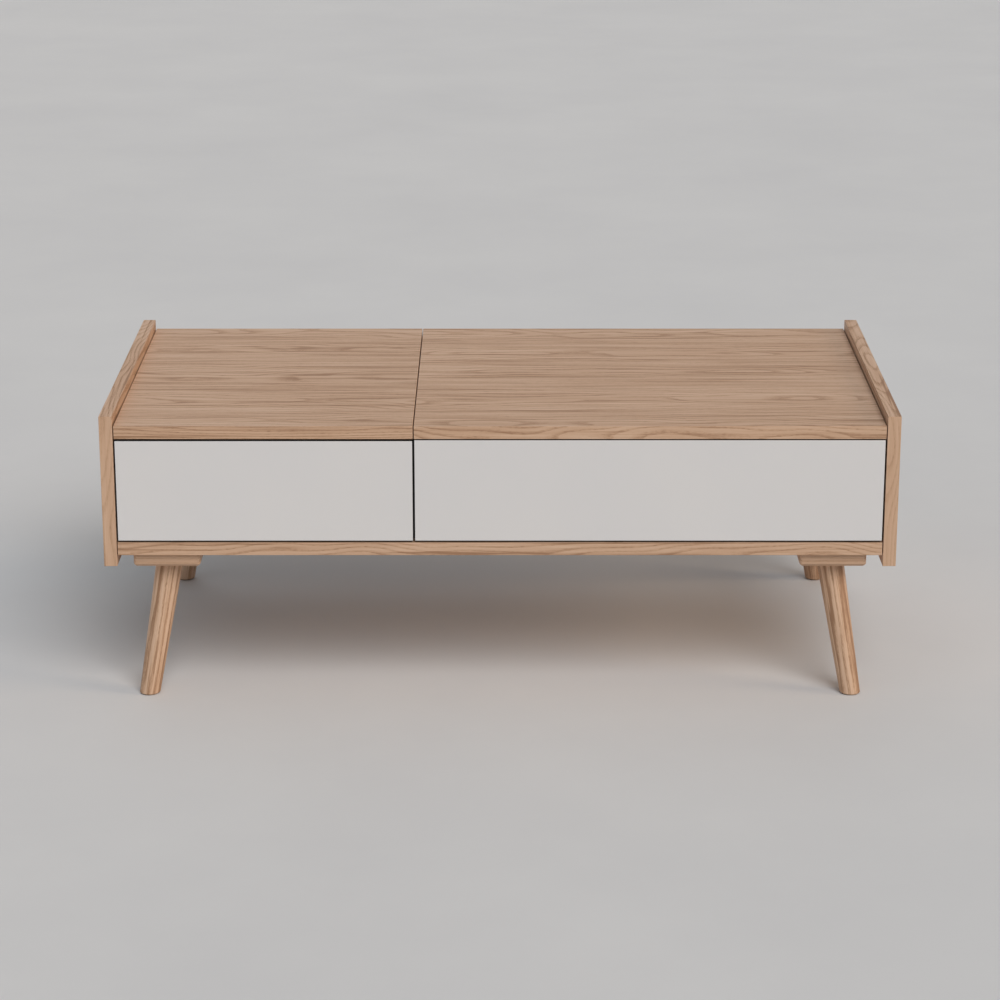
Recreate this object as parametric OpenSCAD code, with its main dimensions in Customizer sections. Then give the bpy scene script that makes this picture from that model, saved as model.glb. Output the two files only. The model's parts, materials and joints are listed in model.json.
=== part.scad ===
// Lift-top coffee table: an oak-veneered carcass on four splayed legs, with a drawer on the left
// and, on the right, a storage compartment whose top rises on a pair of parallel-arm mechanisms.
// Millimetres. +Z up, front towards -Y, origin on the floor under the middle of the table.

/* [Overall] */
// Width across the side panels
table_w = 1200; // [1160:10:1300]
// Depth, front to back
table_d = 600; // [590:5:640]
// Height to the top edge of the side panels
table_h = 450; // [440:5:480]
// Thickness of the veneered boards
board_t = 20; // [19:0.5:21]

/* [Carcass] */
// Height that the side panels stand above the tops
lip_h = 15; // [8:1:25]
// Depth that the side panels hang below the bottom panel
skirt_h = 17.5; // [5:0.5:25]
// Clear height between the bottom panel and the tops
opening_h = 163; // [160:1:175]
// Centre of the divider, which is also the seam between the tops
divider_x = -130; // [-150:5:-110]
// Thickness of the back panel and of the compartment's inner front
back_t = 15; // [14:0.5:16]
// Thickness of the white fronts
front_t = 18; // [16:1:19]

/* [Gaps] */
// Gap round the two tops
top_gap = 1.5; // [1:0.1:2]
// Gap between the fronts, below them and above the drawer front
front_gap = 3; // [2:0.5:4]
// Gap between a front and the side panel
front_side_gap = 2.5; // [2:0.5:4]

/* [Legs] */
// Leg diameter at the mounting block
leg_top_d = 41.6; // [36:0.2:46]
// Leg diameter at the floor
leg_foot_d = 31; // [24:0.5:36]
// Distance that each foot stands outside its block, across and along the table
leg_splay = 35; // [0:1:40]
// Side of the square mounting block
block_w = 102; // [90:1:110]
// Thickness of the mounting block
block_t = 22; // [20:1:25]
// Distance of the block's centre from the table's centre, across
block_x = 506; // [490:1:510]
// Distance of the block's centre from the table's centre, front to back
block_y = 239; // [225:1:245]
// Thickness of the felt glide
glide_t = 2; // [1.5:0.5:5]

/* [Drawer] */
// Length of the ball-bearing runners
runner_len = 500; // [450:10:500]
// Height of the drawer box
drawer_box_h = 124; // [100:1:126]
// Thickness of the drawer box's sides, back and inner front
drawer_t = 12; // [12:0.5:15]

/* [Lift mechanism] */
// Length of the swinging arms between their pivots
arm_len = 240; // [220:5:245]
// Angle of the arms above the horizontal with the top closed
arm_rest = 8; // [7:0.5:10]
// Angle that the arms swing through to the open stop
arm_swing = 100; // [95:1:102]
// Distance of the gas spring's two joints from the front arm's lower pivot
strut_r = 100; // [98:0.5:101]

/* [Hidden] */
$fn = 48;
oak = [0.78, 0.62, 0.47];
white_lacquer = [0.88, 0.87, 0.86];
birch = [0.86, 0.76, 0.60];
steel = [0.72, 0.73, 0.75];
dark_steel = [0.30, 0.31, 0.33];
felt = [0.64, 0.57, 0.50];
grey_plastic = [0.62, 0.63, 0.64];
rubber = [0.16, 0.16, 0.16];

fit = 0.03;      // radial room round a fixed pin, screw or dowel
running = 0.05;  // radial room round a turning pin
past = 1;        // how far a cutting tool runs past a face

half_w = table_w / 2;
front_y = -table_d / 2;
back_y = table_d / 2;
inner_x = half_w - board_t;
top_z = table_h - lip_h;
under_z = top_z - board_t;
floor_z = under_z - opening_h;
bottom_z = floor_z - board_t;
block_z = bottom_z - block_t;
div_l = divider_x - board_t / 2;
div_r = divider_x + board_t / 2;
rest_z = under_z - top_gap;             // what stands below the moving top stops here
fronts_y = front_y + front_t;           // back face of the white fronts
latch_travel = 3;                       // how far the drawer is pressed in to free its latch
carcass_y = fronts_y + latch_travel + 1; // front edge of the divider
back_in_y = back_y - back_t;            // inner face of the back panel
fronts_z = floor_z + front_gap;         // lower edge of the fronts
inner_front_y = fronts_y + back_t;      // inner face of the compartment's inner front
notch_w = 1.5;                          // shadow line where the bottom panel meets a side panel
notch_d = 12;

// Fastener sizes: [head radius, head height, shank radius, length]
csk_16 = [3.8, 2.2, 1.9, 16];
csk_28 = [3.8, 2.2, 1.9, 28];
csk_34 = [4.2, 2.6, 2.2, 34];
csk_40 = [3.8, 2.2, 1.9, 40];
pan_10 = [3.3, 1.3, 1.7, 10];
pan_12 = [3.3, 1.3, 1.7, 12];

// ---------------------------------------------------------------- general shapes

// A box from its lowest corner to its highest.
module slab(lo, hi) {
    translate(lo) cube(hi - lo);
}

// Turns the local +Z to point along a direction, at a point.
module along(p, dir) {
    translate(p) rotate([0, acos(dir.z / norm(dir)), atan2(dir.y, dir.x)]) children();
}

// A cylinder from one distance to another along a direction.
module rod(p, dir, from, to, r) {
    along(p, dir) translate([0, 0, from]) cylinder(h = to - from, r = r);
}

function arc(c, r, a0, a1, n = 8) =
    [for (i = [0:n]) c + r * [cos(a0 + (a1 - a0) * i / n), sin(a0 + (a1 - a0) * i / n)]];

function rounded_square(w, r) =
    [for (q = [[1, 1, 0], [-1, 1, 90], [-1, -1, 180], [1, -1, 270]])
        each arc([q.x, q.y] * (w / 2 - r), r, q.z, q.z + 90, 4)];

// Outline of a strap with round ends, from a to b.
function strap(a, b, r) = let (t = atan2(b.y - a.y, b.x - a.x))
    concat(arc(a, r, t + 90, t + 270, 16), arc(b, r, t - 90, t + 90, 16));

// Extrudes an outline drawn in (y, z) along X.
module plate_yz(points, x0, x1) {
    translate([x0, 0, 0]) rotate([90, 0, 90]) linear_extrude(height = x1 - x0) polygon(points);
}

// ---------------------------------------------------------------- fasteners

// A cross-shaped recess for a screwdriver, from one depth to another.
module cross_recess(length, width, from, to) {
    for (turn = [0, 90]) rotate([0, 0, turn])
        slab([-length / 2, -width / 2, from], [length / 2, width / 2, to]);
}

// A screw whose head starts at p and whose shank runs along dir: countersunk, or with a low pan head.
module screw(p, dir, size, countersunk = true) {
    tip = 2;
    face = countersunk ? 0 : -size[1];
    along(p, dir) difference() {
        union() {
            if (countersunk) cylinder(h = size[1], r1 = size[0], r2 = size[2]);
            else translate([0, 0, face]) cylinder(h = size[1], r = size[0]);
            cylinder(h = size[3] - tip, r = size[2]);
            translate([0, 0, size[3] - tip]) cylinder(h = tip, r1 = size[2], r2 = size[2] / 3);
        }
        cross_recess(size[0] * 1.15, size[0] * 0.28, face - past, face + size[1] * 0.7);
    }
}

module screws(list, size, countersunk = true) {
    for (s = list) screw(s[0], s[1], size, countersunk);
}

// The hole that a screw needs, past both ends of it.
module screw_holes(list, size, countersunk = true) {
    for (s = list) along(s[0], s[1]) {
        if (countersunk) translate([0, 0, -fit])
            cylinder(h = size[1], r1 = size[0] + fit, r2 = size[2] + fit);
        translate([0, 0, -past]) cylinder(h = size[3] + past + 0.3, r = size[2] + fit);
    }
}

// Dowels, each [centre of the joint face, direction into the deeper hole].
dowel_r = 4;
dowel_shallow = 11.5;
dowel_deep = 18;
joint_mid_z = (floor_z + bottom_z) / 2;
back_mid_y = back_y - back_t / 2;
inner_front_mid_y = fronts_y + back_t / 2;
DOWELS = concat(
    [for (y = [-230, 0, 230], s = [-1, 1]) [[s * inner_x, y, joint_mid_z], [-s, 0, 0]]],
    [for (y = [-230, 0, 230]) [[divider_x, y, floor_z], [0, 0, 1]]],
    [for (x = [-450, -250, 50, 350]) [[x, back_mid_y, floor_z], [0, 0, 1]]],
    [for (x = [0, 230, 460]) [[x, inner_front_mid_y, floor_z], [0, 0, 1]]],
    [for (z = [50, 120]) [[divider_x, back_in_y, floor_z + z], [0, -1, 0]]]);

module dowel_holes() {
    for (d = DOWELS) rod(d[0], d[1], -dowel_shallow - 0.5, dowel_deep + 0.5, dowel_r + fit);
}

// Cam joints, each [joint face, direction from the bolt's board into the cam's, direction from the
// cam board's middle to the face that takes the cam, half that board's thickness].
cam_r = 7.5;
cam_h = 12.5;
cam_reach = 34;
bolt_thread = 11;
thread_r = 3;
cam_bolt_r = 3.4;
cam_bolt_room = 0.6;                    // radial room round the bolt in the cam's board
CAMS = concat(
    [for (y = [-80, 80], s = [-1, 1]) [[s * inner_x, y, joint_mid_z], [-s, 0, 0], [0, 0, -1], board_t / 2]],
    [for (y = [-150, 150]) [[divider_x, y, floor_z], [0, 0, 1], [-1, 0, 0], board_t / 2]],
    [for (z = [38, 128], s = [-1, 1])
        [[s * inner_x, back_mid_y, floor_z + z], [-s, 0, 0], [0, -1, 0], back_t / 2]],
    [for (z = [38, 128], e = [[inner_x, -1], [div_r, 1]])
        [[e[0], inner_front_mid_y, floor_z + z], [e[1], 0, 0], [0, 1, 0], back_t / 2]]);

function cam_face(c) = c[0] + c[1] * cam_reach + c[2] * c[3];

module cam_holes() {
    for (c = CAMS) {
        rod(c[0], c[1], -bolt_thread - 0.5, past, thread_r + fit);
        rod(c[0], c[1], 0, cam_reach, cam_bolt_r + cam_bolt_room);
        rod(cam_face(c), -c[2], -past, cam_h + fit, cam_r + fit);
    }
}

// Small steel angles that hold the fixed top, each [its corner under the top, direction off the wall].
angle_w = 20;
angle_t = 2;
angle_y = 180;
ANGLES = [for (y = [-angle_y, angle_y]) each [
        [[-inner_x, y, under_z], [1, 0, 0]],
        [[div_l, y, under_z], [-1, 0, 0]]]];
BACK_ANGLE = [[(div_l - inner_x) / 2, back_in_y, under_z], [0, -1, 0]];
ALL_ANGLES = concat(ANGLES, [BACK_ANGLE]);
angle_hole = 11;
ANGLE_SCREWS = [for (a = ALL_ANGLES) each [
        [a[0] + a[1] * angle_t - [0, 0, angle_hole], -a[1]],
        [a[0] + a[1] * angle_hole - [0, 0, angle_t], [0, 0, 1]]]];

// ---------------------------------------------------------------- runners

runner_h = 45.6;
runner_s = 12.7;                        // side room that a runner takes
runner_z = floor_z + 66;
runner_y0 = carcass_y + 3;
sheet_t = 1.2;
ball_r = 1.8;
ball_room = 0.1;
cage_len = 260;
cage_y0 = -160;
cage_balls = 7;
web_gap = 3;                            // wall to the middle member's web
cabinet_reach = 9.6;                    // distances off the wall that each member's flanges reach
middle_reach = 11;
drawer_reach = 5;
outer_ball_s = 6.8;                     // distances off the wall of the balls' centres
inner_ball_s = 8;
middle_h = runner_h - 2 * (sheet_t + 2 * (ball_r + ball_room));
inner_h = middle_h - 2 * (sheet_t + 2 * (ball_r + ball_room));
outer_ball_h = middle_h / 2 + ball_r + ball_room;   // runner's middle line to the balls' centres
inner_ball_h = inner_h / 2 + ball_r + ball_room;

// Outline of a channel in (distance off the wall, height), with its web at s0 and flanges reaching s1.
function channel(s0, s1, h) = let (t = s1 > s0 ? sheet_t : -sheet_t, k = h / 2)
    [[s0, -k], [s1, -k], [s1, sheet_t - k], [s0 + t, sheet_t - k],
     [s0 + t, k - sheet_t], [s1, k - sheet_t], [s1, k], [s0, k]];

// Puts what is drawn in (distance off the wall, height) on the left or right wall of the drawer bay.
module on_wall(side) {
    translate([side < 0 ? -inner_x : div_l, 0, runner_z]) scale([side < 0 ? 1 : -1, 1, 1]) children();
}

module runner_bar(side, points) {
    on_wall(side) translate([0, runner_y0 + runner_len, 0]) rotate([90, 0, 0])
        linear_extrude(height = runner_len) polygon(points);
}

cabinet_screw_y = [-240, -90, 60, 200];
drawer_screw_y = [-230, -40, 150];
CABINET_SCREWS = [for (y = cabinet_screw_y) each [
        [[-inner_x + sheet_t, y, runner_z], [-1, 0, 0]],
        [[div_l - sheet_t, y, runner_z], [1, 0, 0]]]];
DRAWER_RUNNER_SCREWS = [for (y = drawer_screw_y) each [
        [[-inner_x + runner_s - sheet_t, y, runner_z], [1, 0, 0]],
        [[div_l - runner_s + sheet_t, y, runner_z], [-1, 0, 0]]]];

module runner_cabinet(side) {
    color(steel) difference() {
        runner_bar(side, channel(0, cabinet_reach, runner_h));
        screw_holes(CABINET_SCREWS, pan_12, false);
    }
}

module runner_cabinet_screws() {
    color(steel) screws(CABINET_SCREWS, pan_12, false);
}

module runner_drawer_screws() {
    color(steel) screws(DRAWER_RUNNER_SCREWS, pan_10, false);
}

module runner_middle(side) {
    color(steel) runner_bar(side, channel(web_gap, middle_reach, middle_h));
}

module runner_drawer(side) {
    color(steel) difference() {
        runner_bar(side, channel(runner_s, drawer_reach, inner_h));
        screw_holes(DRAWER_RUNNER_SCREWS, pan_10, false);
    }
}

// Steel balls held in a strip, above and below, on both walls.
module runner_balls(height, s) {
    strip_w = 3;
    strip_t = 0.8;
    color(dark_steel) for (side = [-1, 1], up = [-1, 1]) on_wall(side) translate([s, 0, up * height]) {
        slab([-strip_t / 2, cage_y0, -strip_w / 2], [strip_t / 2, cage_y0 + cage_len, strip_w / 2]);
        for (i = [0:cage_balls - 1]) translate([0, cage_y0 + cage_len * (i + 0.5) / cage_balls, 0])
            sphere(r = ball_r, $fn = 24);
    }
}

// ---------------------------------------------------------------- drawer

box_l = -inner_x + runner_s;
box_r = div_l - runner_s;
box_z0 = floor_z + 12;
box_z1 = box_z0 + drawer_box_h;
box_y1 = runner_y0 + runner_len + 9;
groove_d = 6;
groove_z0 = box_z0 + 12;
panel_t = 6;

FRONT_SCREWS = [for (x = [box_l + 70, box_r - 70], z = [box_z0 + 34, box_z1 - 28])
        [[x, fronts_y + drawer_t, z], [0, -1, 0]]];
BOX_SCREWS = [for (y = [fronts_y + drawer_t / 2, box_y1 - drawer_t / 2],
    z = [box_z0 + 22, box_z1 - 14]) each [
        [[box_l, y, z], [1, 0, 0]],
        [[box_r, y, z], [-1, 0, 0]]]];
front_screw = [3.8, 2.2, 1.9, 25];

module groove() {
    slab([box_l + drawer_t - groove_d, fronts_y + drawer_t - groove_d, groove_z0 - fit],
         [box_r - drawer_t + groove_d, box_y1 - drawer_t + groove_d, groove_z0 + panel_t + fit]);
}

module drawer_front() {
    color(white_lacquer) difference() {
        slab([-inner_x + front_side_gap, front_y, fronts_z],
             [divider_x - front_gap / 2, fronts_y, under_z - front_gap]);
        screw_holes(FRONT_SCREWS, front_screw);
    }
}

module drawer_side(x0) {
    color(birch) difference() {
        slab([x0, fronts_y, box_z0], [x0 + drawer_t, box_y1, box_z1]);
        groove();
        screw_holes(BOX_SCREWS, csk_40);
        screw_holes(DRAWER_RUNNER_SCREWS, pan_10, false);
    }
}

module drawer_end(y0) {
    color(birch) difference() {
        slab([box_l + drawer_t, y0, box_z0], [box_r - drawer_t, y0 + drawer_t, box_z1]);
        groove();
        screw_holes(BOX_SCREWS, csk_40);
        screw_holes(FRONT_SCREWS, front_screw);
    }
}

module drawer_bottom() {
    room = 0.1;
    color(birch) slab(
        [box_l + drawer_t - groove_d + room, fronts_y + drawer_t - groove_d + room, groove_z0],
        [box_r - drawer_t + groove_d - room, box_y1 - drawer_t + groove_d - room, groove_z0 + panel_t]);
}

module drawer_front_screws() {
    color(steel) screws(FRONT_SCREWS, front_screw);
}

module drawer_box_screws() {
    color(steel) screws(BOX_SCREWS, csk_40);
}

// Push latch behind the drawer: a housing on the bottom panel, and the pin that the drawer's back presses.
latch_x = (box_l + box_r) / 2;
latch_w = 24;
latch_y0 = box_y1 + 6;
latch_z = floor_z + 20;
latch_pin_r = 4;
latch_bore = 40;
latch_h = 30;
latch_ear = 12;
latch_ear_t = 4;
LATCH_SCREWS = [for (s = [-1, 1])
        [[latch_x + s * (latch_w + latch_ear) / 2, latch_y0 + 20, floor_z + latch_ear_t], [0, 0, -1]]];

module push_latch_housing() {
    color(grey_plastic) difference() {
        union() {
            slab([latch_x - latch_w / 2, latch_y0, floor_z],
                 [latch_x + latch_w / 2, back_in_y, floor_z + latch_h]);
            slab([latch_x - latch_w / 2 - latch_ear, latch_y0 + 10, floor_z],
                 [latch_x + latch_w / 2 + latch_ear, latch_y0 + 30, floor_z + latch_ear_t]);
        }
        rod([latch_x, latch_y0, latch_z], [0, 1, 0], -past, latch_bore, latch_pin_r + 2 * running);
        screw_holes(LATCH_SCREWS, csk_16);
    }
    color(steel) screws(LATCH_SCREWS, csk_16);
}

module push_latch_plunger() {
    tip = 1.5;
    start = [latch_x, box_y1 + 0.3, latch_z];
    color(steel) {
        rod(start, [0, 1, 0], 0, tip, latch_pin_r - 1);
        rod(start, [0, 1, 0], tip, latch_bore - latch_travel + 1, latch_pin_r);
    }
}

// ---------------------------------------------------------------- legs

// Puts a part drawn for the right rear corner at any corner.
module at_corner(sx, sy) {
    scale([sx, sy, 1]) children();
}

block_c = [block_x, block_y, block_z];
foot_c = [block_x + leg_splay, block_y + leg_splay, 0];
leg_axis = block_c - foot_c;
leg_l = norm(leg_axis);
leg_over = 20;                          // how far the cone runs past each cut
leg_taper = (leg_top_d - leg_foot_d) / 2 / leg_l;
bolt_r = 4;
bolt_in_leg = 45;
bolt_in_block = 18;
block_screw_in = 38;
BLOCK_SCREWS = [for (x = [-1, 1], y = [-1, 1])
        [[block_x + x * block_screw_in, block_y + y * block_screw_in, block_z], [0, 0, 1]]];

module leg(sx, sy) {
    room = leg_splay + leg_top_d;
    color(oak) at_corner(sx, sy) difference() {
        intersection() {
            along(foot_c, leg_axis) translate([0, 0, -leg_over])
                cylinder(h = leg_l + 2 * leg_over, r1 = leg_foot_d / 2 - leg_taper * leg_over,
                         r2 = leg_top_d / 2 + leg_taper * leg_over, $fn = 96);
            slab([block_x - room, block_y - room, glide_t], [block_x + room, block_y + room, block_z]);
        }
        rod(block_c, leg_axis, -bolt_in_leg - 1, leg_over, bolt_r + fit);
    }
}

// A square block with round corners and a chamfer round its lower edge.
module leg_block(sx, sy) {
    r = 6;
    chamfer = 5;
    k = block_w / 2;
    profile = [[-k, block_t], [-k, chamfer], [chamfer - k, 0], [k - chamfer, 0], [k, chamfer], [k, block_t]];
    color(oak) at_corner(sx, sy) difference() {
        translate(block_c) intersection() {
            linear_extrude(height = block_t) polygon(rounded_square(block_w, r));
            translate([0, k + past, 0]) rotate([90, 0, 0])
                linear_extrude(height = 2 * (k + past)) polygon(profile);
            translate([-k - past, 0, 0]) rotate([90, 0, 90])
                linear_extrude(height = 2 * (k + past)) polygon(profile);
        }
        rod(block_c, leg_axis, -leg_over, bolt_in_block + 1, bolt_r + fit);
        screw_holes(BLOCK_SCREWS, csk_34);
    }
}

module each_corner() {
    for (sx = [-1, 1], sy = [-1, 1]) at_corner(sx, sy) children();
}

module foot_glides() {
    inset = 3;
    color(felt) each_corner() translate(foot_c) cylinder(h = glide_t, r = leg_foot_d / 2 - inset);
}

module leg_bolts() {
    color(steel) each_corner() rod(block_c, leg_axis, -bolt_in_leg, bolt_in_block, bolt_r);
}

module leg_block_screws() {
    color(steel) each_corner() screws(BLOCK_SCREWS, csk_34);
}

module leg_screw_holes() {
    each_corner() screw_holes(BLOCK_SCREWS, csk_34);
}

// ---------------------------------------------------------------- lift mechanism

// Pivots in (y, z), with the top closed. Both arms stay parallel, so the top stays level.
function dir2(a) = [cos(a), sin(a)];
arm_w = 24;
arm_t = 3;
pin_r = 4;
pivot_step = [50, -32];                 // front pivot to rear pivot, on the base and on the bracket
bracket_drop = 18;                      // underside of the top to the bracket's front pivot
base_y = front_y + 110;
base_front = [base_y, under_z - bracket_drop - arm_len * sin(arm_rest)];
base_rear = base_front + pivot_step;
bracket_front = base_front + arm_len * dir2(arm_rest);
bracket_rear = bracket_front + pivot_step;
// The gas spring's joints are the same distance from the front arm's lower pivot, so the spring
// turns exactly half as far as the arm.
strut_angle = 78;                       // between the two joints at rest
strut_base = base_front + strut_r * dir2(arm_rest - strut_angle);
strut_arm = base_front + strut_r * dir2(arm_rest);
strut_rest_l = norm(strut_arm - strut_base);
strut_dir = (strut_arm - strut_base) / strut_rest_l;
tube_at = 165;                          // along the front arm
tube_c = base_front + tube_at * dir2(arm_rest);
open_arm = arm_rest + arm_swing;
stop_r = 4;                             // pin that the open front arm rests against
stop_at = 30;                           // along the open arm
stop_room = 0.3;
stop_c = base_front + stop_at * dir2(open_arm) + (arm_w / 2 + stop_r + stop_room) * dir2(open_arm + 90);

// Distances off the wall
base_t = 3;
arm_s = base_t + 1;
web_s = arm_s + arm_t + 1;
web_t = 2.5;
flange_s = web_s + 32;
strut_s = 19;
eye_w = 8;
eye_r = 7;
stud_r = 3;
collar_r = 5;
collar_room = 0.3;                      // between a collar and the gas spring's eye
washer_r = 7;
washer_t = 2;
washer_room = 0.1;                      // between a washer and the arm that turns beside it

// Draws on the right wall of the compartment, with X as the distance off it; side -1 is the divider.
module off_wall(side) {
    translate([side > 0 ? inner_x : div_r, 0, 0]) scale([-side, 1, 1]) children();
}

function yz(p, s = 0) = [s, p.x, p.y];

module pin(p, r, s0, s1) {
    rod(yz(p), [1, 0, 0], s0, s1, r);
}

// A stud for the gas spring's eye, standing on the face at s, with a collar on each side of the eye.
module strut_stud(p, s) {
    pin(p, stud_r, s - 1, strut_s + eye_w / 2 + 1);
    pin(p, collar_r, s - 1, strut_s - eye_w / 2 - collar_room);
    pin(p, collar_r, strut_s + eye_w / 2 + collar_room, strut_s + eye_w / 2 + 2);
}

base_foot = 30;
base_boss_r = 17;
base_back_y = base_rear.x + 45;
base_front_y = base_front.x - 40;
BASE_OUTLINE = concat(
    [[base_front_y, floor_z], [base_back_y, floor_z], [base_back_y, floor_z + 55]],
    arc(base_rear, base_boss_r, 10, 65),
    arc(base_front, base_boss_r, 65, 85),
    arc(stop_c, stop_r + 6, 80, 180),
    [[base_front_y, stop_c.y - 30]]);
BASE_WALL_HOLES = [[base_front_y + 14, floor_z + 20], [base_back_y - 14, floor_z + 20],
    [base_front_y + 14, floor_z + 85], [base_back_y - 12, floor_z + 46]];
BASE_WALL_SCREWS = [for (p = BASE_WALL_HOLES) [yz(p, base_t), [-1, 0, 0]]];
BASE_FLOOR_SCREWS = [for (y = [base_front_y + 20, base_back_y - 20]) [[20, y, floor_z + base_t], [0, 0, -1]]];

module lift_base(side) {
    color(dark_steel) off_wall(side) difference() {
        union() {
            plate_yz(BASE_OUTLINE, 0, base_t);
            slab([0, base_front_y, floor_z], [base_foot, base_back_y, floor_z + base_t]);
            pin(stop_c, stop_r, 0, arm_s + arm_t + 1);
            strut_stud(strut_base, base_t);
        }
        for (p = [base_front, base_rear]) pin(p, pin_r + fit, -past, base_t + past);
        screw_holes(BASE_WALL_SCREWS, csk_16);
        screw_holes(BASE_FLOOR_SCREWS, csk_16);
    }
}

module lift_base_pins() {
    color(steel) for (side = [-1, 1]) off_wall(side) for (p = [base_front, base_rear]) {
        pin(p, pin_r, 0, arm_s + arm_t + 1);
        pin(p, washer_r, base_t, arm_s - washer_room);
        pin(p, washer_r, arm_s + arm_t + washer_room, arm_s + arm_t + washer_t);
    }
}

module lift_base_screws() {
    color(steel) for (side = [-1, 1]) off_wall(side) {
        screws(BASE_WALL_SCREWS, csk_16);
        screws(BASE_FLOOR_SCREWS, csk_16);
    }
}

module lift_screw_holes(side) {
    off_wall(side) {
        screw_holes(BASE_WALL_SCREWS, csk_16);
        screw_holes(BASE_FLOOR_SCREWS, csk_16);
    }
}

module arm(a, b) {
    difference() {
        plate_yz(strap(a, b, arm_w / 2), arm_s, arm_s + arm_t);
        for (p = [a, b]) pin(p, pin_r + running, arm_s - past, arm_s + arm_t + past);
    }
}

module lift_arms_front() {
    color(dark_steel) for (side = [-1, 1]) off_wall(side) {
        arm(base_front, bracket_front);
        strut_stud(strut_arm, arm_s + arm_t);
    }
}

module lift_arms_rear() {
    color(dark_steel) for (side = [-1, 1]) off_wall(side) arm(base_rear, bracket_rear);
}

module lift_sync_tube() {
    r = 8;
    wall = 1.5;
    x0 = div_r + arm_s + arm_t;
    x1 = inner_x - arm_s - arm_t;
    color(dark_steel) difference() {
        rod([x0, tube_c.x, tube_c.y], [1, 0, 0], 0, x1 - x0, r);
        rod([x0, tube_c.x, tube_c.y], [1, 0, 0], -past, x1 - x0 + past, r - wall);
    }
}

bracket_boss_r = 14;
bracket_y0 = bracket_front.x - 45;
bracket_y1 = bracket_rear.x + 45;
BRACKET_OUTLINE = concat(
    [[bracket_y0, under_z], [bracket_y0, under_z - 12]],
    arc(bracket_front, bracket_boss_r, 190, 235),
    arc(bracket_rear, bracket_boss_r, 235, 340),
    [[bracket_y1, under_z - 12], [bracket_y1, under_z]]);
BRACKET_SCREWS = [for (y = [bracket_y0 + 12, (bracket_y0 + bracket_y1) / 2, bracket_y1 - 12])
        [[web_s + 18, y, under_z - web_t], [0, 0, 1]]];

module lift_bracket(side) {
    color(dark_steel) off_wall(side) difference() {
        union() {
            plate_yz(BRACKET_OUTLINE, web_s, web_s + web_t);
            slab([web_s, bracket_y0, under_z - web_t], [flange_s, bracket_y1, under_z]);
        }
        for (p = [bracket_front, bracket_rear]) pin(p, pin_r + fit, web_s - past, web_s + web_t + past);
        screw_holes(BRACKET_SCREWS, csk_16);
    }
}

module lift_bracket_pins() {
    color(steel) for (side = [-1, 1]) off_wall(side) for (p = [bracket_front, bracket_rear]) {
        pin(p, pin_r, arm_s - 1, web_s + web_t + 1);
        pin(p, washer_r, arm_s - 1.8, arm_s - washer_room);
        pin(p, washer_r, arm_s + arm_t + washer_room, web_s);
        pin(p, washer_r, web_s + web_t, web_s + web_t + washer_t);
    }
}

module lift_bracket_screws() {
    color(steel) for (side = [-1, 1]) off_wall(side) screws(BRACKET_SCREWS, csk_16);
}

module lift_top() {
    color(oak) difference() {
        slab([divider_x + top_gap / 2, front_y, under_z], [inner_x - top_gap, back_y, top_z]);
        for (side = [-1, 1]) off_wall(side) screw_holes(BRACKET_SCREWS, csk_16);
    }
}

// Gas spring, drawn along its own line from the joint on the base. The rod slides in the cylinder.
neck_r = 3.5;
cyl_r = 7.5;
cyl_bore = 6.5;
cyl_start = 11;
cyl_end = 106;
cap_t = 4;
gland_t = 7;
rod_r = 3;
rod_l = 108;
piston_h = 5;

module strut_rod(from, to, r) {
    rod(yz(strut_base, strut_s), yz(strut_dir), from, to, r);
}

module eye(p) {
    pin(p, eye_r, strut_s - eye_w / 2, strut_s + eye_w / 2);
}

module eye_hole(p) {
    pin(p, stud_r + running, strut_s - eye_w / 2 - past, strut_s + eye_w / 2 + past);
}

module gas_cylinders() {
    color(dark_steel) for (side = [-1, 1]) off_wall(side) difference() {
        union() {
            eye(strut_base);
            strut_rod(eye_r - 2, cyl_start + 3, neck_r);
            strut_rod(cyl_start, cyl_end, cyl_r);
        }
        eye_hole(strut_base);
        strut_rod(cyl_start + cap_t, cyl_end - gland_t, cyl_bore);
        strut_rod(cyl_end - gland_t - past, cyl_end + past, rod_r + running);
    }
}

module gas_rods() {
    tip = strut_rest_l - rod_l;
    color(steel) for (side = [-1, 1]) off_wall(side) difference() {
        union() {
            eye(strut_arm);
            strut_rod(tip, strut_rest_l - 4, rod_r);
            strut_rod(tip, tip + piston_h, cyl_bore - running);
        }
        eye_hole(strut_arm);
    }
}

module lid_bumpers() {
    r = 4;
    inset = 60;
    squeeze = 0.1;
    color(rubber) for (x = [div_r + inset, inner_x - inset], y = [inner_front_mid_y, back_mid_y])
        translate([x, y, rest_z]) cylinder(h = top_gap - squeeze, r = r);
}

// ---------------------------------------------------------------- carcass

module side_panel(side) {
    x = [side * inner_x, side * half_w];
    color(oak) difference() {
        slab([min(x), front_y, bottom_z - skirt_h], [max(x), back_y, table_h]);
        dowel_holes();
        cam_holes();
        if (side < 0) {
            screw_holes(CABINET_SCREWS, pan_12, false);
            screw_holes(ANGLE_SCREWS, pan_12, false);
        } else lift_screw_holes(1);
    }
}

module bottom_panel() {
    color(oak) difference() {
        slab([-inner_x, front_y, bottom_z], [inner_x, back_y, floor_z]);
        for (s = [-1, 1])
            translate([s * (inner_x - notch_w / 2 + past / 2), front_y, joint_mid_z])
                cube([notch_w + past, 2 * notch_d, board_t + 2 * past], center = true);
        dowel_holes();
        cam_holes();
        leg_screw_holes();
        for (s = [-1, 1]) lift_screw_holes(s);
        screw_holes(LATCH_SCREWS, csk_16);
    }
}

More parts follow.
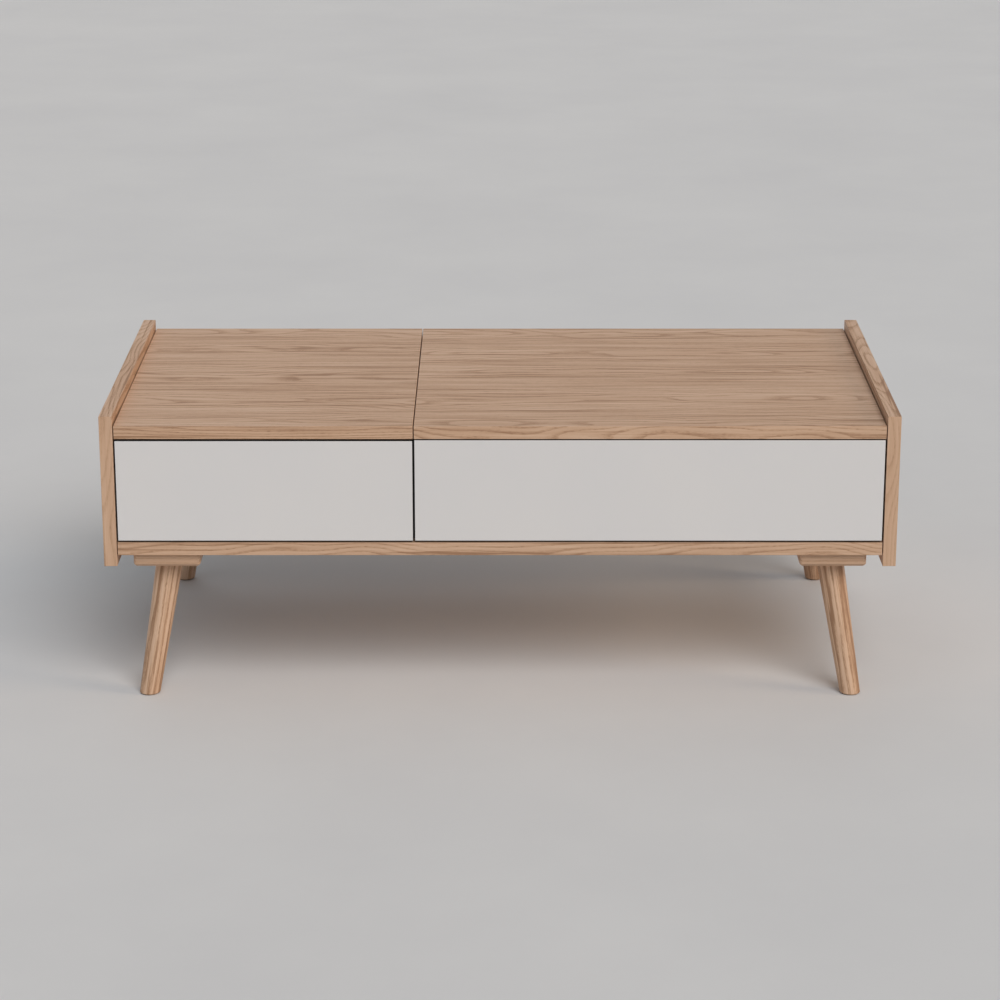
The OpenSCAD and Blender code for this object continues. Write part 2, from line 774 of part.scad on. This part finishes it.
module divider_panel() {
    color(oak) difference() {
        slab([div_l, carcass_y, floor_z], [div_r, back_in_y, under_z]);
        slab([divider_x - top_gap / 2, carcass_y - past, rest_z],
             [div_r + past, back_in_y + past, under_z + past]);
        dowel_holes();
        cam_holes();
        screw_holes(CABINET_SCREWS, pan_12, false);
        screw_holes(ANGLE_SCREWS, pan_12, false);
        lift_screw_holes(-1);
    }
}

module back_panel() {
    color(oak) difference() {
        slab([-inner_x, back_in_y, floor_z], [inner_x, back_y, under_z]);
        slab([divider_x - top_gap / 2, back_in_y - past, rest_z],
             [inner_x + past, back_y + past, under_z + past]);
        dowel_holes();
        cam_holes();
        screw_holes(ANGLE_SCREWS, pan_12, false);
    }
}

module fixed_top() {
    color(oak) difference() {
        slab([-inner_x + top_gap, front_y, under_z], [divider_x - top_gap / 2, back_y, top_z]);
        screw_holes(ANGLE_SCREWS, pan_12, false);
    }
}

COMPARTMENT_SCREWS = [for (x = [0, 230, 460], z = [floor_z + 48, floor_z + 118])
        [[x, inner_front_y, z], [0, -1, 0]]];

module compartment_inner_front() {
    color(oak) difference() {
        slab([div_r, fronts_y, floor_z], [inner_x, inner_front_y, rest_z]);
        dowel_holes();
        cam_holes();
        screw_holes(COMPARTMENT_SCREWS, csk_28);
    }
}

module compartment_front() {
    color(white_lacquer) difference() {
        slab([divider_x + front_gap / 2, front_y, fronts_z], [inner_x - front_side_gap, fronts_y, rest_z]);
        screw_holes(COMPARTMENT_SCREWS, csk_28);
    }
}

module compartment_front_screws() {
    color(steel) screws(COMPARTMENT_SCREWS, csk_28);
}

module cam_locks() {
    color(grey_plastic) for (c = CAMS) difference() {
        rod(cam_face(c), -c[2], 0.2, cam_h, cam_r);
        rod(c[0], c[1], cam_reach - cam_r - past, cam_reach, cam_bolt_r + 0.4);
        along(cam_face(c), -c[2]) cross_recess(9, 1.6, -past, 2.5);
    }
}

module cam_bolts() {
    color(steel) for (c = CAMS) {
        rod(c[0], c[1], -bolt_thread, 0.5, thread_r);
        rod(c[0], c[1], 0.2, cam_reach - 1, cam_bolt_r);
    }
}

module dowels() {
    color(birch) for (d = DOWELS) rod(d[0], d[1], -dowel_shallow, dowel_deep, dowel_r);
}

module corner_brackets() {
    color(steel) difference() {
        for (a = ALL_ANGLES) translate(a[0]) rotate([0, 0, atan2(a[1].y, a[1].x)]) union() {
            slab([0, -angle_w / 2, -angle_w], [angle_t, angle_w / 2, 0]);
            slab([0, -angle_w / 2, -angle_t], [angle_w, angle_w / 2, 0]);
        }
        screw_holes(ANGLE_SCREWS, pan_12, false);
    }
}

module corner_bracket_screws() {
    color(steel) screws(ANGLE_SCREWS, pan_12, false);
}

// ---------------------------------------------------------------- the nodes

side_panel(-1);  // side_panel_left
side_panel(1);  // side_panel_right
bottom_panel();
divider_panel();
back_panel();
fixed_top();
compartment_inner_front();
compartment_front();
leg(-1, -1);  // leg_front_left
leg(1, -1);  // leg_front_right
leg(-1, 1);  // leg_rear_left
leg(1, 1);  // leg_rear_right
leg_block(-1, -1);  // leg_block_front_left
leg_block(1, -1);  // leg_block_front_right
leg_block(-1, 1);  // leg_block_rear_left
leg_block(1, 1);  // leg_block_rear_right
foot_glides();
leg_bolts();
leg_block_screws();
cam_locks();
cam_bolts();
dowels();
compartment_front_screws();
corner_brackets();
corner_bracket_screws();
runner_cabinet(-1);  // runner_cabinet_left
runner_cabinet(1);  // runner_cabinet_right
runner_cabinet_screws();
push_latch_housing();
push_latch_plunger();
drawer_front();
drawer_side(box_l);  // drawer_side_left
drawer_side(box_r - drawer_t);  // drawer_side_right
drawer_end(fronts_y);  // drawer_inner_front
drawer_end(box_y1 - drawer_t);  // drawer_back
drawer_bottom();
drawer_front_screws();
drawer_box_screws();
runner_drawer(-1);  // runner_drawer_left
runner_drawer(1);  // runner_drawer_right
runner_drawer_screws();
runner_middle(-1);  // runner_middle_left
runner_middle(1);  // runner_middle_right
runner_balls(outer_ball_h, outer_ball_s);  // runner_balls_outer
runner_balls(inner_ball_h, inner_ball_s);  // runner_balls_inner
lift_base(-1);  // lift_base_left
lift_base(1);  // lift_base_right
lift_base_pins();
lift_base_screws();
lid_bumpers();
lift_top();
lift_bracket(-1);  // lift_bracket_left
lift_bracket(1);  // lift_bracket_right
lift_bracket_screws();
lift_bracket_pins();
lift_arms_front();
lift_sync_tube();
lift_arms_rear();
gas_cylinders();
gas_rods();
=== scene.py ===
"""Looks for the lift top coffee table: oak boards, white fronts, solid oak legs and the fittings."""
import json
import math

import bmesh
import bpy
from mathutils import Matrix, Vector


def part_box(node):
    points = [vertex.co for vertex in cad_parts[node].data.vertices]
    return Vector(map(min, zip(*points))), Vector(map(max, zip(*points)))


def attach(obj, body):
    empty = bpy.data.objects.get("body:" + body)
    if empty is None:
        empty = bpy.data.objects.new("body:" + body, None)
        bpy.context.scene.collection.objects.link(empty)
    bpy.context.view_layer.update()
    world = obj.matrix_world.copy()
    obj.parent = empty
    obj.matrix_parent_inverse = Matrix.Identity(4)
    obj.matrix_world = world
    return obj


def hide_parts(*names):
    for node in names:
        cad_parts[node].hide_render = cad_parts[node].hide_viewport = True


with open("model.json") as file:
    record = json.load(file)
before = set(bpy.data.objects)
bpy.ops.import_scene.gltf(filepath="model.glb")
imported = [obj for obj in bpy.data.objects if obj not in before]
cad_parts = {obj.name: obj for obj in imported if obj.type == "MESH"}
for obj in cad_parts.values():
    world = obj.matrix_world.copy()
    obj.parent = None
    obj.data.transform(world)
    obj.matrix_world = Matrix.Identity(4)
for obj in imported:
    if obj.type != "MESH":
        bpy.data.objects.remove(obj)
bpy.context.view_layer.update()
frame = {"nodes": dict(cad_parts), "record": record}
NODES = frame["nodes"]
BODY_OF = {node: body for body, nodes in frame["record"]["behaviour"]["bodies"].items() for node in nodes}
SLOT_OF = {part["node"]: part["material_slot"] for part in frame["record"]["subparts"]}

X, Y, Z = Vector((1, 0, 0)), Vector((0, 1, 0)), Vector((0, 0, 1))
NEAR = 1e-5             # points closer than this are the same
RIM = 0.0008            # easing on the fronts' edges and on the legs and their blocks

# ---------------------------------------------------------------- colours, linear

OAK_LIGHT = (0.690, 0.475, 0.330)
OAK_MID = (0.576, 0.367, 0.238)
OAK_DARK = (0.362, 0.208, 0.122)
BEECH = ((0.74, 0.54, 0.36), (0.68, 0.48, 0.31), (0.55, 0.36, 0.22))
BIRCH = ((0.80, 0.66, 0.47), (0.74, 0.59, 0.40), (0.56, 0.41, 0.25))
OAK = (OAK_LIGHT, OAK_MID, OAK_DARK)
LACQUER = (0.735, 0.720, 0.712)


# ---------------------------------------------------------------- shader building

class Shader:
    """A material under construction: its node tree and its main shader."""

    def __init__(self, name, **settings):
        self.material = bpy.data.materials.new(name)
        self.material.use_nodes = True
        self.nodes = self.material.node_tree.nodes
        self.links = self.material.node_tree.links
        self.bsdf = self.nodes["Principled BSDF"]
        for socket, value in settings.items():
            self.put(self.bsdf.inputs[socket.replace("_", " ")], value)

    def put(self, socket, value):
        if isinstance(value, bpy.types.NodeSocket):
            self.links.new(value, socket)
        elif socket.type == "RGBA":
            socket.default_value = (*value, 1.0)
        else:
            socket.default_value = value

    def add(self, kind, properties=None, **inputs):
        node = self.nodes.new("ShaderNode" + kind)
        for key, value in (properties or {}).items():
            setattr(node, key, value)
        for key, value in inputs.items():
            self.put(node.inputs[key.replace("_", " ")], value)
        return node

    def math(self, operation, *values):
        node = self.add("Math", {"operation": operation})
        for socket, value in zip(node.inputs, values):
            self.put(socket, value)
        return node.outputs[0]

    def place(self):
        """Where a point is in the row frame, at rest."""
        return self.add("TexCoord").outputs["Object"]

    def dot(self, vector, axis):
        node = self.add("VectorMath", {"operation": "DOT_PRODUCT"})
        self.put(node.inputs[0], vector)
        self.put(node.inputs[1], tuple(axis))
        return node.outputs["Value"]

    def vector(self, *values):
        node = self.add("CombineXYZ")
        for socket, value in zip(node.inputs, values):
            self.put(socket, value)
        return node.outputs[0]

    def noise(self, vector, scale=1.0, detail=2.0, roughness=0.5):
        return self.add("TexNoise", Vector=vector, Scale=scale, Detail=detail, Roughness=roughness).outputs[0]

    def scaled(self, values, factors):
        """The vector of values, each times its factor."""
        return self.vector(*(self.math("MULTIPLY", v, f) for v, f in zip(values, factors)))

    def remap(self, value, low, high, to_low, to_high, smooth=False):
        kind = {"interpolation_type": "SMOOTHSTEP" if smooth else "LINEAR"}
        return self.add("MapRange", kind, Value=value, From_Min=low, From_Max=high, To_Min=to_low,
                        To_Max=to_high).outputs[0]

    def ramp(self, value, *stops):
        node = self.add("ValToRGB", Fac=value)
        elements = node.color_ramp.elements
        while len(elements) < len(stops):
            elements.new(0.5)
        for element, (position, colour) in zip(elements, stops):
            element.position = position
            element.color = (*colour, 1.0)
        return node.outputs[0]

    def bump(self, height, strength, distance):
        normal = self.add("Bump", Height=height, Strength=strength, Distance=distance).outputs[0]
        self.put(self.bsdf.inputs["Normal"], normal)


# ---------------------------------------------------------------- wood

def wood(name, grain, across, seed=0.0, leaf=0.0, middle=0.0, pith=(0.045, 0.0), ring=0.003, wander=0.05,
         contrast=1.0, colours=OAK, roughness=0.46):
    """Wood with its fibres along grain. With a leaf width it is sliced veneer, in leaves laid side by side,
    one of them round middle. Without, it is solid, with its rings round a pith that stands off the piece."""
    s = Shader(name)
    grain, across = grain.normalized(), across.normalized()
    place = s.place()
    u = s.dot(place, grain)
    v = s.dot(place, across)
    w = s.dot(place, grain.cross(across))
    seeded = s.math("ADD", u, seed * 3.7)
    if leaf:
        count = s.math("ADD", s.math("DIVIDE", v, leaf), 0.5 - middle / leaf)
        index = s.math("FLOOR", count)
        picked = s.math("ADD", index, seed)
        chance = s.add("TexWhiteNoise", {"noise_dimensions": "1D"}, W=picked).outputs["Value"]
        off_middle = s.math("MULTIPLY", s.math("SUBTRACT", s.math("SUBTRACT", count, index), 0.5), leaf)
        ring_v = s.math("ADD", off_middle, s.math("MULTIPLY", s.math("SUBTRACT", chance, 0.5), leaf * 0.3))
        ring_w = s.math("MULTIPLY_ADD", chance, 0.03, pith[0])
        seeded = s.math("MULTIPLY_ADD", chance, 11.0, seeded)
    else:
        ring_v = s.math("ADD", v, pith[0])
        ring_w = s.math("ADD", w, pith[1])
    drift = s.noise(s.scaled((seeded, v, w), (2.4, 7.0, 7.0)), detail=2.0)
    ring_w = s.math("MULTIPLY_ADD", s.math("SUBTRACT", drift, 0.5), wander, ring_w)
    ripple = s.noise(s.scaled((seeded, v, w), (9.0, 70.0, 70.0)), detail=3.0)
    squared = s.math("ADD", s.math("MULTIPLY", ring_v, ring_v), s.math("MULTIPLY", ring_w, ring_w))
    radius = s.math("SQRT", squared)
    turns = s.math("MULTIPLY_ADD", s.math("SUBTRACT", ripple, 0.5), 0.55, s.math("DIVIDE", radius, ring))
    phase = s.math("FRACT", turns)
    early = s.remap(phase, 0.0, 0.50, 1.0, 0.0, smooth=True)
    onset = s.remap(phase, 0.90, 1.0, 0.0, 1.0, smooth=True)
    porous = s.math("MAXIMUM", early, onset)
    pores = s.noise(s.scaled((seeded, v, w), (110.0, 2100.0, 2100.0)), detail=1.0)
    pores = s.remap(pores, 0.52, 0.66, 0.0, 1.0)
    fibre = s.noise(s.scaled((seeded, v, w), (7.0, 420.0, 420.0)), detail=4.0, roughness=0.62)
    streak = s.noise(s.scaled((seeded, v, w), (2.0, 62.0, 62.0)), detail=4.0, roughness=0.65)
    thread = s.noise(s.scaled((seeded, v, w), (3.2, 150.0, 150.0)), detail=2.0)
    thread = s.remap(thread, 0.56, 0.70, 0.0, 1.0, smooth=True)
    cloud = s.noise(s.scaled((seeded, v, w), (2.2, 8.0, 8.0)), detail=1.0)

    light = s.math("MULTIPLY_ADD", s.math("SUBTRACT", fibre, 0.5), 1.15 * contrast, 0.70)
    light = s.math("MULTIPLY_ADD", s.math("SUBTRACT", streak, 0.5), 1.35 * contrast, light)
    light = s.math("MULTIPLY_ADD", s.math("SUBTRACT", cloud, 0.5), 0.40 * contrast, light)
    light = s.math("MULTIPLY_ADD", thread, -0.42 * contrast, light)
    depth = s.math("MULTIPLY_ADD", pores, 0.45, 0.35)
    light = s.math("MULTIPLY_ADD", s.math("MULTIPLY", porous, depth), -0.80 * contrast, light)
    light = s.math("MULTIPLY_ADD", pores, -0.10 * contrast, light)
    colour = s.ramp(light, (0.0, colours[2]), (0.48, colours[1]), (1.0, colours[0]))
    s.put(s.bsdf.inputs["Base Color"], colour)
    s.put(s.bsdf.inputs["Roughness"], s.remap(light, 0.0, 1.0, roughness + 0.10, roughness - 0.05))
    s.bsdf.inputs["Specular IOR Level"].default_value = 0.18
    s.bump(light, 0.25, 0.0002)
    return s.material


def plywood_edge(name, layers_along, colours=BIRCH):
    """The sanded edge of plywood: thin layers, every other one dark end grain."""
    s = Shader(name)
    place = s.place()
    across = s.dot(place, layers_along)
    waver = s.noise(place, scale=30.0)
    level = s.math("MULTIPLY_ADD", s.math("SUBTRACT", waver, 0.5), 0.0006, across)
    phase = s.math("PINGPONG", s.math("DIVIDE", level, 0.0014), 1.0)
    grit = s.noise(place, scale=1400.0, detail=3.0)
    light = s.math("MULTIPLY_ADD", s.math("SUBTRACT", grit, 0.5), 0.5, s.remap(phase, 0.35, 0.65, 0.15, 0.85))
    s.put(s.bsdf.inputs["Base Color"], s.ramp(light, (0.0, colours[2]), (0.5, colours[1]), (1.0, colours[0])))
    s.bsdf.inputs["Roughness"].default_value = 0.6
    s.bump(light, 0.2, 0.0002)
    return s.material


# ---------------------------------------------------------------- other materials

def lacquer(name):
    """Sprayed matt lacquer: a fine orange peel and a barely visible change of tone."""
    s = Shader(name, Roughness=0.5, Specular_IOR_Level=0.4)
    place = s.place()
    tone = s.noise(place, scale=6.0, detail=3.0)
    warm = tuple(c * k for c, k in zip(LACQUER, (1.008, 1.005, 1.0)))
    cool = tuple(c * k for c, k in zip(LACQUER, (0.99, 0.992, 0.996)))
    s.put(s.bsdf.inputs["Base Color"], s.ramp(tone, (0.3, cool), (0.7, warm)))
    peel = s.noise(place, scale=420.0, detail=2.0)
    sides = (s.dot(place, X), s.dot(place, Y), s.dot(place, Z))
    brushed = s.noise(s.scaled(sides, (25.0, 160.0, 320.0)), detail=3.0)
    s.bump(s.math("MULTIPLY_ADD", brushed, 0.6, peel), 0.18, 0.0002)
    return s.material


def metal(name, colour, roughness, rub=0.08, scale=60.0, metallic=1.0, peel=0.05):
    """Metal with a slight unevenness in its gloss, as plating, paint or drawing leaves it."""
    s = Shader(name, Metallic=metallic)
    place = s.place()
    patch = s.noise(place, scale=scale, detail=4.0)
    shade = tuple(c * 0.86 for c in colour)
    s.put(s.bsdf.inputs["Base Color"], s.ramp(patch, (0.3, shade), (0.65, colour)))
    s.put(s.bsdf.inputs["Roughness"], s.remap(patch, 0.3, 0.7, roughness + rub, roughness - rub / 2))
    s.bump(s.noise(place, scale=1800.0, detail=2.0), peel, 0.0001)
    return s.material


def plastic(name, colour, roughness, grit=900.0, depth=0.12):
    """Moulded plastic or rubber with a spark-eroded surface."""
    s = Shader(name)
    place = s.place()
    tone = s.noise(place, scale=25.0, detail=3.0)
    s.put(s.bsdf.inputs["Base Color"], s.ramp(tone, (0.3, tuple(c * 0.9 for c in colour)), (0.7, colour)))
    s.put(s.bsdf.inputs["Roughness"], s.remap(tone, 0.3, 0.7, roughness + 0.06, roughness - 0.04))
    s.bump(s.noise(place, scale=grit, detail=2.0), depth, 0.0002)
    return s.material


def felt(name):
    s = Shader(name, Roughness=1.0, Specular_IOR_Level=0.1, Sheen_Weight=0.5)
    place = s.place()
    fuzz = s.noise(place, scale=1500.0, detail=4.0, roughness=0.7)
    s.put(s.bsdf.inputs["Base Color"], s.ramp(fuzz, (0.3, (0.30, 0.22, 0.16)), (0.7, (0.48, 0.36, 0.27))))
    s.bump(fuzz, 0.6, 0.0005)
    return s.material


# ---------------------------------------------------------------- meshes from the frame

def clean_copy(node):
    """A bmesh of a CAD node, with its split vertices merged and its flat faces made whole."""
    bm = bmesh.new()
    bm.from_mesh(NODES[node].data)
    bmesh.ops.remove_doubles(bm, verts=bm.verts, dist=1e-6)
    bmesh.ops.dissolve_limit(bm, angle_limit=math.radians(0.5), verts=bm.verts, edges=bm.edges)
    return bm


def on_outline(edge, lo, hi):
    """Whether an edge lies along an edge of the box."""
    a, b = (vert.co for vert in edge.verts)
    held = sum(1 for k in range(3)
               if abs(a[k] - b[k]) < NEAR and min(abs(a[k] - lo[k]), abs(a[k] - hi[k])) < NEAR)
    return held >= 2


def sharp(edge, degrees):
    """Whether two faces meet at an edge at more than this angle."""
    return len(edge.link_faces) == 2 and edge.calc_face_angle(0.0) > math.radians(degrees)


def ease(bm, edges, width):
    """Rounds edges off by a small width."""
    bmesh.ops.bevel(bm, geom=edges, offset=width, segments=2, profile=0.5, affect="EDGES", clamp_overlap=True)


def stand_in(name, bm, node, materials, choose):
    """Makes bm the shown piece for a CAD node. choose gives a face's material number."""
    mesh = bpy.data.meshes.new(name)
    for face in bm.faces:
        face.smooth = True
        face.material_index = choose(face)
    for edge in bm.edges:
        edge.smooth = len(edge.link_faces) == 2 and edge.calc_face_angle(0.0) < math.radians(20)
    bm.to_mesh(mesh)
    bm.free()
    for material in materials:
        mesh.materials.append(material)
    piece = bpy.data.objects.new(name, mesh)
    bpy.context.scene.collection.objects.link(piece)
    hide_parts(node)
    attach(piece, BODY_OF[node])
    return piece


def board(node, name, materials, edge=0.0006):
    """A board with its outer edges eased. materials are for the faces across X, across Y and across Z."""
    bm = clean_copy(node)
    lo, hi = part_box(node)
    ease(bm, [e for e in bm.edges if on_outline(e, lo, hi)], edge)

    def choose(face):
        n = [abs(c) * weight for c, weight in zip(face.normal, (1.0, 1.5, 1.0))]
        return n.index(max(n))

    return stand_in(name, bm, node, materials, choose)


# ---------------------------------------------------------------- the table

def panels(gap_shade):
    """The oak boards. The grain runs along each board, and each edge band's grain runs along its own edge."""
    flat = {"leaf": 0.14, "pith": (0.03, 0.0), "ring": 0.0064, "wander": 0.075, "contrast": 1.15}
    band = {"leaf": 0.12, "pith": (0.02, 0.0), "ring": 0.0025, "wander": 0.045}

    def edge_band(node, name, grain, across, seed, contrast=1.3):
        lo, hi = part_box(node)
        return wood(f"{name}_band", grain, across, seed=seed, middle=((lo + hi) / 2).dot(across),
                    contrast=contrast, **band)

    for k, (node, name) in enumerate((
            ("fixed_top", "fixed_top"), ("lift_top", "lift_top"), ("bottom_panel", "bottom"))):
        board(node, f"{name}_board", (
            edge_band(node, f"{name}_end", Y, Z, 1.1 + k),
            edge_band(node, f"{name}_front", X, Z, 2.3 + k),
            wood(f"{name}_face", X, Y, seed=3.0 + k, **flat)))
    for k, side in enumerate(("left", "right")):
        node = f"side_panel_{side}"
        board(node, f"side_board_{side}", (
            wood(f"side_{side}_face", Y, Z, seed=7.7 + k, **flat),
            edge_band(node, f"side_{side}_front", Z, X, 9.2 + k, contrast=0.7),
            edge_band(node, f"side_{side}_top", Y, X, 11.6 + k)))
    back = wood("back_face", X, Z, seed=13.5, **flat)
    board("back_panel", "back_board", (back, back, edge_band("back_panel", "back_top", X, Y, 14.8)))
    # The divider's front edge gets the near-black finish too: painted shade, seen through the gap between the
    # fronts.
    board("divider_panel", "divider_board", (
        wood("divider_face", Y, Z, seed=15.1, **flat), gap_shade,
        edge_band("divider_panel", "divider_top", Y, X, 17.2)))
    inner = wood("inner_front_face", X, Z, seed=18.4, **flat)
    board("compartment_inner_front", "inner_front_board", (
        inner, inner, edge_band("compartment_inner_front", "inner_front_top", X, Y, 19.0)))


def fronts(gap_shade):
    """White faces; their edges get a near-black finish, painted shade so that the gaps round the fronts read
    dark.
    """
    white = lacquer("white_lacquer")
    for front in ("compartment_front", "drawer_front"):
        # The fronts' edges, across X and across Z, get the near-black painted-shade finish.
        board(front, f"{front}_board", (gap_shade, white, gap_shade), edge=RIM)


def turned_leg(corner, seed):
    """A solid oak leg with straight stripes along its axis."""
    node = f"leg_{corner}"
    block_lo, block_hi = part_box(f"leg_block_{corner}")
    lo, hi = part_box(node)
    foot_r = 0.0155
    foot = Vector((hi.x - foot_r if lo.x > 0 else lo.x + foot_r,
                   hi.y - foot_r if lo.y > 0 else lo.y + foot_r, lo.z))
    top = Vector(((block_lo.x + block_hi.x) / 2, (block_lo.y + block_hi.y) / 2, block_lo.z))
    axis = (top - foot).normalized()
    across = axis.cross(Vector((0.35, -1.0, 0))).normalized()
    stripes = wood(f"{node}_oak", axis, across, seed=seed, pith=(0.9, 0.1), ring=0.0085, wander=0.01,
                   contrast=2.1)
    bm = clean_copy(node)
    rims = [e for e in bm.edges if sharp(e, 50) and all(abs(v.co.z - lo.z) < NEAR for v in e.verts)]
    ease(bm, rims, RIM)
    stand_in(f"turned_leg_{corner}", bm, node, (stripes,), lambda face: 0)


def shaped_block(corner, seed):
    """The block that a leg screws into, with its long lower edges eased."""
    node = f"leg_block_{corner}"
    top_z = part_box(node)[1].z
    shortest = 0.02
    oak = wood(f"{node}_oak", X, Z, seed=seed, pith=(0.3, 0.2), ring=0.004, wander=0.02, contrast=0.8)
    bm = clean_copy(node)
    rims = [e for e in bm.edges if sharp(e, 30) and all(v.co.z < top_z - 0.001 for v in e.verts)
            and e.calc_length() > shortest]
    ease(bm, rims, RIM)
    stand_in(f"shaped_block_{corner}", bm, node, (oak,), lambda face: 0)


def legs():
    for k, corner in enumerate(("front_left", "front_right", "rear_left", "rear_right")):
        turned_leg(corner, 21.0 + 1.7 * k)
        shaped_block(corner, 31.0 + 2.3 * k)


def drawer_box():
    """Birch plywood boards, with the layers showing on the top edges."""
    face = {"leaf": 0.3, "pith": (0.08, 0.0), "contrast": 0.45, "colours": BIRCH, "roughness": 0.5}
    side_face = wood("drawer_side_birch", Y, Z, seed=41.0, **face)
    end_face = wood("drawer_end_birch", X, Z, seed=43.0, **face)
    layers_x = plywood_edge("plywood_layers_x", X)
    layers_y = plywood_edge("plywood_layers_y", Y)
    for side in ("left", "right"):
        board(f"drawer_side_{side}", f"drawer_side_{side}_ply", (side_face, layers_x, layers_x), edge=0.001)
    board("drawer_inner_front", "drawer_inner_front_ply", (layers_y, end_face, layers_y), edge=0.001)
    board("drawer_back", "drawer_back_ply", (layers_y, end_face, layers_y), edge=0.001)
    floor_face = wood("drawer_bottom_birch", X, Y, seed=45.0, **face)
    board("drawer_bottom", "drawer_bottom_ply", (floor_face, floor_face, floor_face), edge=0.0004)


def fittings():
    """Gives the CAD nodes of the hardware their finishes."""
    zinc = metal("zinc_plate", (0.62, 0.64, 0.67), 0.34)
    finishes = {
        "zinc_steel": zinc,
        "ball_steel": metal("ball_steel", (0.60, 0.61, 0.63), 0.16, rub=0.04),
        "cam_zinc": metal("cast_zinc", (0.50, 0.51, 0.53), 0.48, scale=200.0, peel=0.2),
        "black_steel": metal("black_coat", (0.028, 0.028, 0.030), 0.42, metallic=0.0, peel=0.12),
        "polished_rod": metal("polished_rod", (0.72, 0.73, 0.75), 0.10, rub=0.03),
        "grey_plastic": plastic("grey_plastic", (0.36, 0.37, 0.38), 0.5),
        "rubber": plastic("bumper_rubber", (0.02, 0.02, 0.02), 0.75, grit=1200.0),
        "felt": felt("glide_felt"),
        "beech": wood("dowel_beech", X, Y, seed=51.0, pith=(0.2, 0.1), contrast=0.5, colours=BEECH,
                      roughness=0.55)}
    for node, obj in NODES.items():
        finish = finishes.get(SLOT_OF[node])
        if finish:
            obj.data.materials.clear()
            obj.data.materials.append(finish)


# ---------------------------------------------------------------- stage

def stage_floor():
    """A pale round floor that sweeps up far from the table, so that no horizon shows."""
    s = Shader("pale_floor", Roughness=0.8, Specular_IOR_Level=0.2)
    place = s.place()
    mottle = s.noise(place, scale=1.7, detail=5.0, roughness=0.6)
    darker, lighter = (0.69, 0.695, 0.705), (0.73, 0.735, 0.74)
    s.put(s.bsdf.inputs["Base Color"], s.ramp(mottle, (0.3, darker), (0.7, lighter)))
    flat_r, sweep_r, sweep, steps, sides = 16.0, 5.0, math.radians(80), 16, 96
    bends = [sweep * k / steps for k in range(steps + 1)]
    rings = [(flat_r + sweep_r * math.sin(bend), sweep_r * (1 - math.cos(bend))) for bend in bends]
    turns = [2 * math.pi * k / sides for k in range(sides)]
    points = [(r * math.cos(turn), r * math.sin(turn), z) for r, z in rings for turn in turns]
    faces = [tuple(range(sides))]
    for ring in range(steps):
        for k in range(sides):
            a, b = ring * sides + k, ring * sides + (k + 1) % sides
            faces.append((a, a + sides, b + sides, b))
    mesh = bpy.data.meshes.new("floor")
    mesh.from_pydata(points, [], faces)
    mesh.shade_smooth()
    mesh.polygons[0].use_smooth = False
    mesh.materials.append(s.material)
    floor = bpy.data.objects.new("floor", mesh)
    bpy.context.scene.collection.objects.link(floor)


def soft_light(name, azimuth, elevation, strength, spread, colour):
    """A soft light from far off. Azimuth is turned from the front towards the right."""
    data = bpy.data.lights.new(name, "SUN")
    data.energy = strength
    data.angle = math.radians(spread)
    data.color = colour
    lamp = bpy.data.objects.new(name, data)
    a, e = math.radians(azimuth), math.radians(elevation)
    towards = Vector((math.sin(a) * math.cos(e), -math.cos(a) * math.cos(e), math.sin(e)))
    lamp.rotation_mode = "QUATERNION"
    lamp.rotation_quaternion = towards.to_track_quat("Z", "Y")
    bpy.context.scene.collection.objects.link(lamp)


def lights():
    soft_light("key", 22.0, 45.0, 1.66, 38.0, (1.0, 0.985, 0.975))
    soft_light("fill", -45.0, 30.0, 0.20, 60.0, (0.85, 0.93, 1.0))
    soft_light("rear", 190.0, 40.0, 0.35, 60.0, (0.92, 0.96, 1.0))
    soft_light("side", 79.0, 20.0, 0.85, 22.0, (1.0, 0.74, 0.50))
    world = bpy.data.worlds.new("studio")
    world.use_nodes = True
    background = world.node_tree.nodes["Background"]
    background.inputs["Color"].default_value = (0.90, 0.95, 1.0, 1.0)
    background.inputs["Strength"].default_value = 0.18
    bpy.context.scene.world = world
    bpy.context.scene.view_settings.view_transform = "Standard"


def camera():
    """In front of the table's middle, looking down at it through a long lens."""
    look_down = 0.303
    data = bpy.data.cameras.new("camera")
    data.sensor_width = 36.0
    data.lens = 107.7
    data.clip_end = 100.0
    cam = bpy.data.objects.new("camera", data)
    cam.location = (0.0, -4.600, 1.664)
    cam.rotation_euler = (math.pi / 2 - look_down, 0.0, 0.0)
    bpy.context.scene.collection.objects.link(cam)
    bpy.context.scene.camera = cam


camera()
lights()
stage_floor()
# A near-black finish on the edges in the gaps round the fronts: painted shade, so the gaps read as dark
# lines.
painted_gap_shade = plastic("painted_gap_shade", (0.035, 0.032, 0.030), 0.55)   # in the gaps round the fronts
panels(painted_gap_shade)
fronts(painted_gap_shade)
legs()
drawer_box()
fittings()
